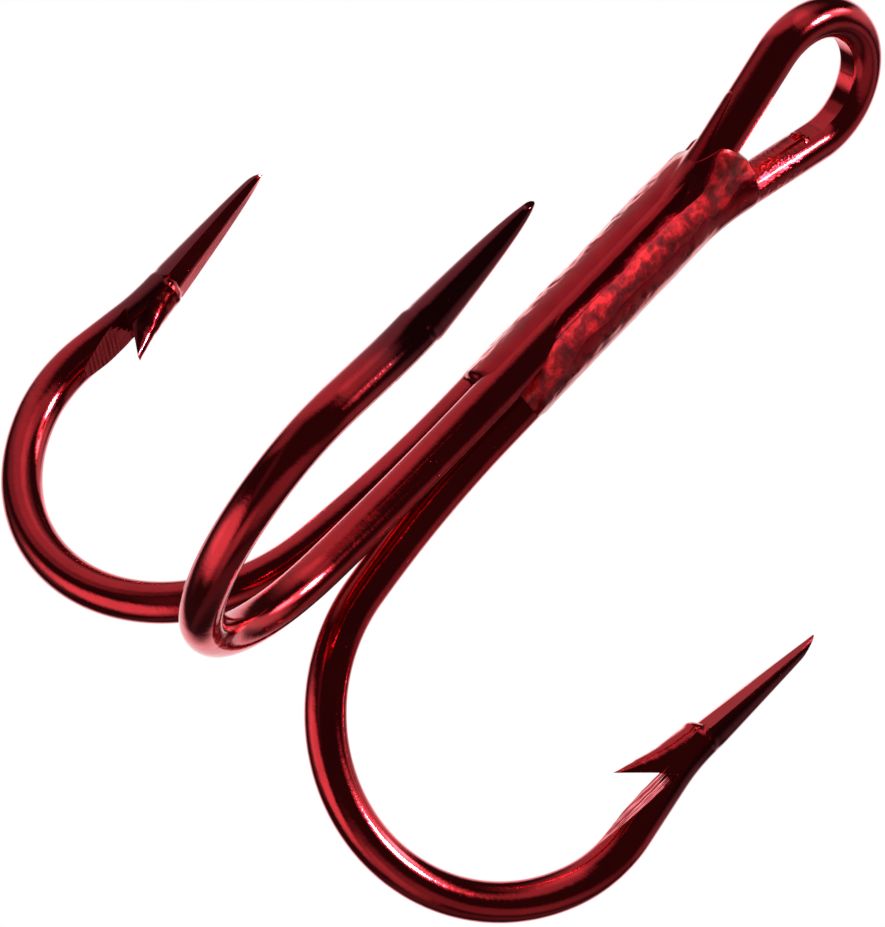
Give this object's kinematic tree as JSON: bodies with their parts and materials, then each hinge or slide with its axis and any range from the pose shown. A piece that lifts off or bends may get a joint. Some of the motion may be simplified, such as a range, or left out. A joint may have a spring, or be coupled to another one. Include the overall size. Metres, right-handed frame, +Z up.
{
  "type": "treble hook",
  "caption": "Barbed treble fishing hook in glossy red over bright metal, with a ring eye at the head of a brazed shank and points facing back up beside it.",
  "frame": {"origin": "centre of the eye's round crown, on the axis of the eye's opening and half way through the wire", "axes": "+Z up along the shank towards the eye, so the hooks hang below and the points face +Z; Y along the eye's opening, with the single hook towards +Y; X across the eye, with the double hook's two points to either side"},
  "size_m": [0.0258, 0.0228, 0.0329],
  "materials": {
    "hook_finish": "translucent red lacquer over bright nickel, mirror gloss",
    "coated_braze": "the same red finish over rough, mottled braze metal",
    "bare_braze": "bare braze metal, closed in between the wires"
  },
  "bodies": {
    "root": {"double_hook_wire": "hook_finish", "single_hook_wire": "hook_finish", "braze_front_seam": "coated_braze", "braze_left_seam": "coated_braze", "braze_right_seam": "coated_braze", "braze_core": "bare_braze"}
  },
  "joints": []
}
